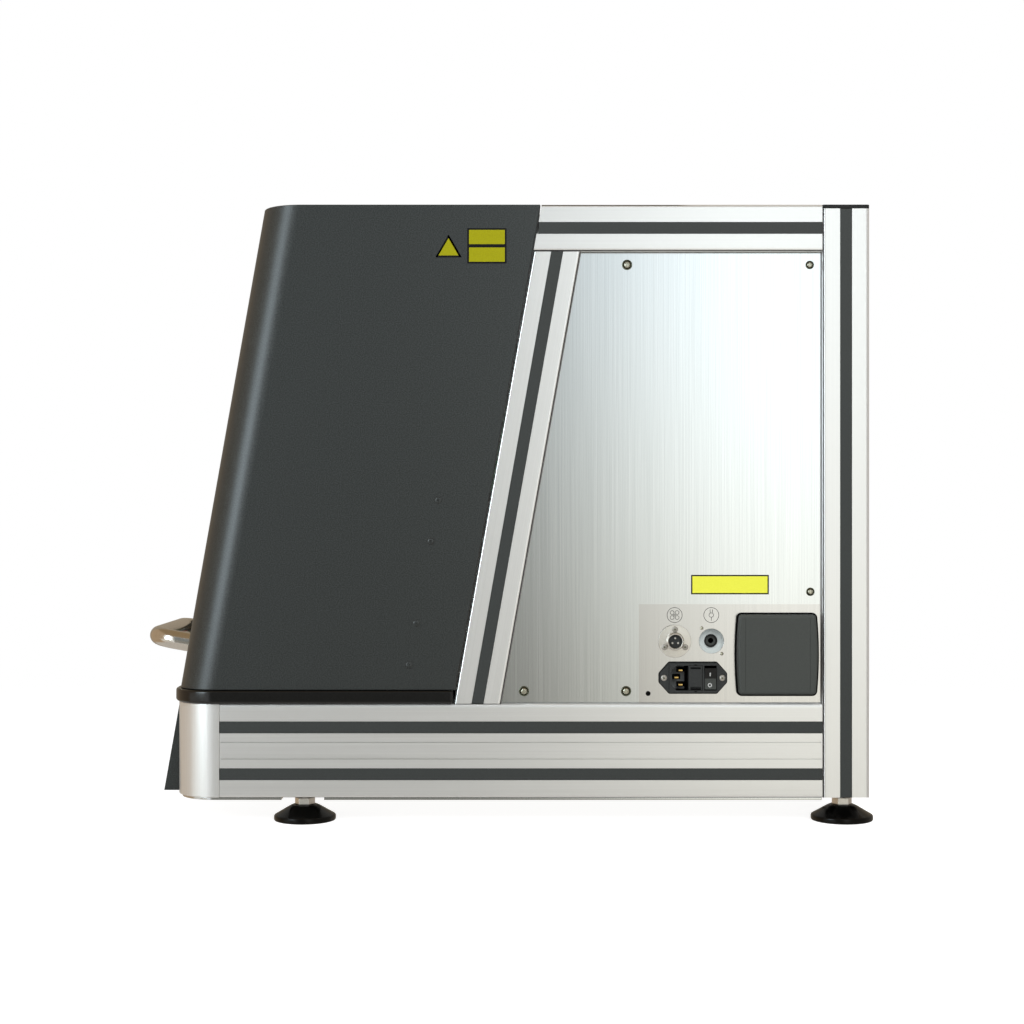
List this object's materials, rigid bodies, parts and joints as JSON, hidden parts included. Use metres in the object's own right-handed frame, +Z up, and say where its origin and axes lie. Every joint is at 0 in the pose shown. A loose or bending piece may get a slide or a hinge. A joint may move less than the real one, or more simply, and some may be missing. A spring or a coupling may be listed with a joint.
{
  "type": "enclosed fiber laser marking machine",
  "caption": "Bench laser marking machine: T-slot frame, U-shaped lift-up hood on leaning posts, scan head on a height column, side sockets and levelling feet.",
  "frame": {"origin": "centre of the bounding box on the surface the feet stand on", "axes": "+Z up, -Y towards the operator and the lift handle, +X towards the machine's right side with the sockets"},
  "size_m": [0.575, 0.7419, 0.595],
  "materials": {
    "profile": "clear anodised extrusion, fine satin",
    "brushed_sheet": "vertically brushed sheet",
    "inner_sheet": "dark grey powder coat",
    "hood_paint": "fine-textured dark grey powder coat",
    "seal_rubber": "smooth black rubber, slight gloss",
    "foot_plastic": "hard black rubber",
    "black_plastic": "moulded black",
    "cover_plastic": "moulded dark grey",
    "pale_plastic": "pale blue-grey moulding",
    "red_plastic": "moulded red",
    "green_plastic": "moulded green",
    "safety_window": "green tinted laser safety pane",
    "polished_steel": "polished",
    "steel": "ground steel",
    "socket_metal": "nickel plated",
    "black_metal": "black anodised",
    "machined_metal": "machined and clear anodised"
  },
  "bodies": {
    "machine": {"base_rail_right": "profile", "base_rail_left": "profile", "base_corner_right": "profile", "base_corner_left": "profile", "rear_post_right": "profile", "rear_post_left": "profile", "post_cap_right": "black_plastic", "post_cap_left": "black_plastic", "top_rail_right": "profile", "top_rail_left": "profile", "slanted_post_right": "profile", "slanted_post_left": "profile", "front_base_beam": "profile", "rear_base_beam": "profile", "rear_top_beam": "profile", "side_panel_right": "brushed_sheet", "side_panel_left": "brushed_sheet", "rear_panel": "brushed_sheet", "top_cover": "inner_sheet", "floor_plate": "inner_sheet", "chamber_wall": "inner_sheet", "hood_rail_right": "steel", "hood_rail_left": "steel", "gas_spring_tube_right": "black_metal", "gas_spring_tube_left": "black_metal", "sill_seal": "seal_rubber", "front_panel": "hood_paint", "work_table": "black_metal", "z_column": "black_metal", "laser_source": "black_metal", "power_supply": "brushed_sheet", "fan_frame": "black_plastic", "fan_cover": "cover_plastic", "inlet_module": "black_plastic", "three_pin_socket": "socket_metal", "data_socket": "pale_plastic"},
    "hood": {"hood_shell": "hood_paint", "window_pane": "safety_window", "lift_handle": "polished_steel", "hood_carriage_right": "steel", "hood_carriage_left": "steel", "gas_spring_rod_right": "polished_steel", "gas_spring_rod_left": "polished_steel"},
    "scan_slide": {"z_slide": "machined_metal", "scan_head": "black_metal", "focus_lens": "black_metal"},
    "screw": {"lead_screw": "steel"},
    "fan": {"fan_rotor": "black_plastic"},
    "rocker": {"rocker_switch": "black_plastic"},
    "fuse": {"fuse_drawer": "black_plastic"},
    "start": {"start_button": "green_plastic"},
    "stop": {"emergency_stop": "red_plastic"},
    "pad_front_right": {"foot_pad_front_right": "foot_plastic"},
    "stud_front_right": {"foot_stud_front_right": "steel"},
    "pad_front_left": {"foot_pad_front_left": "foot_plastic"},
    "stud_front_left": {"foot_stud_front_left": "steel"},
    "pad_rear_right": {"foot_pad_rear_right": "foot_plastic"},
    "stud_rear_right": {"foot_stud_rear_right": "steel"},
    "pad_rear_left": {"foot_pad_rear_left": "foot_plastic"},
    "stud_rear_left": {"foot_stud_rear_left": "steel"}
  },
  "joints": [
    {"name": "hood_lift", "type": "slide", "parent": "machine", "child": "hood", "axis": [0, 0.1736, 0.9848], "range_m": [0, 0.265]},
    {"name": "z_travel", "type": "slide", "parent": "machine", "child": "scan_slide", "axis": [0, 0, 1], "range_m": [-0.1, 0.07]},
    {"name": "screw_turn", "type": "hinge", "parent": "machine", "child": "screw", "pos_m": [0, 0.09154, 0.3], "axis": [0, 0, -1], "range_deg": [-7200, 5040]},
    {"name": "fan_spin", "type": "hinge", "parent": "machine", "child": "fan", "pos_m": [0.258, 0.27544, 0.1622], "axis": [1, 0, 0], "continuous": true},
    {"name": "rocker_tilt", "type": "hinge", "parent": "machine", "child": "rocker", "pos_m": [0.2715, 0.21114, 0.1396], "axis": [0, 1, 0], "range_deg": [-16, 0]},
    {"name": "fuse_pull", "type": "slide", "parent": "machine", "child": "fuse", "axis": [1, 0, 0], "range_m": [0, 0.016]},
    {"name": "start_press", "type": "slide", "parent": "machine", "child": "start", "axis": [0, 0.9848, -0.1736], "range_m": [0, 0.0025], "stiffness_N_per_m": 300, "springref_m": -0.003},
    {"name": "stop_press", "type": "slide", "parent": "machine", "child": "stop", "axis": [0, 0.9848, -0.1736], "range_m": [0, 0.004]},
    {"name": "foot_height_front_right", "type": "slide", "parent": "machine", "child": "pad_front_right", "axis": [0, 0, -1], "range_m": [0, 0.015]},
    {"name": "foot_turn_front_right", "type": "hinge", "parent": "pad_front_right", "child": "stud_front_right", "pos_m": [0.2575, -0.18146, 0.03], "axis": [0, 0, -1], "range_deg": [0, 3600]},
    {"name": "foot_height_front_left", "type": "slide", "parent": "machine", "child": "pad_front_left", "axis": [0, 0, -1], "range_m": [0, 0.015]},
    {"name": "foot_turn_front_left", "type": "hinge", "parent": "pad_front_left", "child": "stud_front_left", "pos_m": [-0.2575, -0.18146, 0.03], "axis": [0, 0, -1], "range_deg": [0, 3600]},
    {"name": "foot_height_rear_right", "type": "slide", "parent": "machine", "child": "pad_rear_right", "axis": [0, 0, -1], "range_m": [0, 0.015]},
    {"name": "foot_turn_rear_right", "type": "hinge", "parent": "pad_rear_right", "child": "stud_rear_right", "pos_m": [0.2575, 0.34104, 0.03], "axis": [0, 0, -1], "range_deg": [0, 3600]},
    {"name": "foot_height_rear_left", "type": "slide", "parent": "machine", "child": "pad_rear_left", "axis": [0, 0, -1], "range_m": [0, 0.015]},
    {"name": "foot_turn_rear_left", "type": "hinge", "parent": "pad_rear_left", "child": "stud_rear_left", "pos_m": [-0.2575, 0.34104, 0.03], "axis": [0, 0, -1], "range_deg": [0, 3600]}
  ],
  "couplings": [
    {"joint": "screw_turn", "follows": "z_travel", "rad_per_m": 1256.6},
    {"joint": "foot_turn_front_right", "follows": "foot_height_front_right", "rad_per_m": 4188.8},
    {"joint": "foot_turn_front_left", "follows": "foot_height_front_left", "rad_per_m": 4188.8},
    {"joint": "foot_turn_rear_right", "follows": "foot_height_rear_right", "rad_per_m": 4188.8},
    {"joint": "foot_turn_rear_left", "follows": "foot_height_rear_left", "rad_per_m": 4188.8}
  ]
}
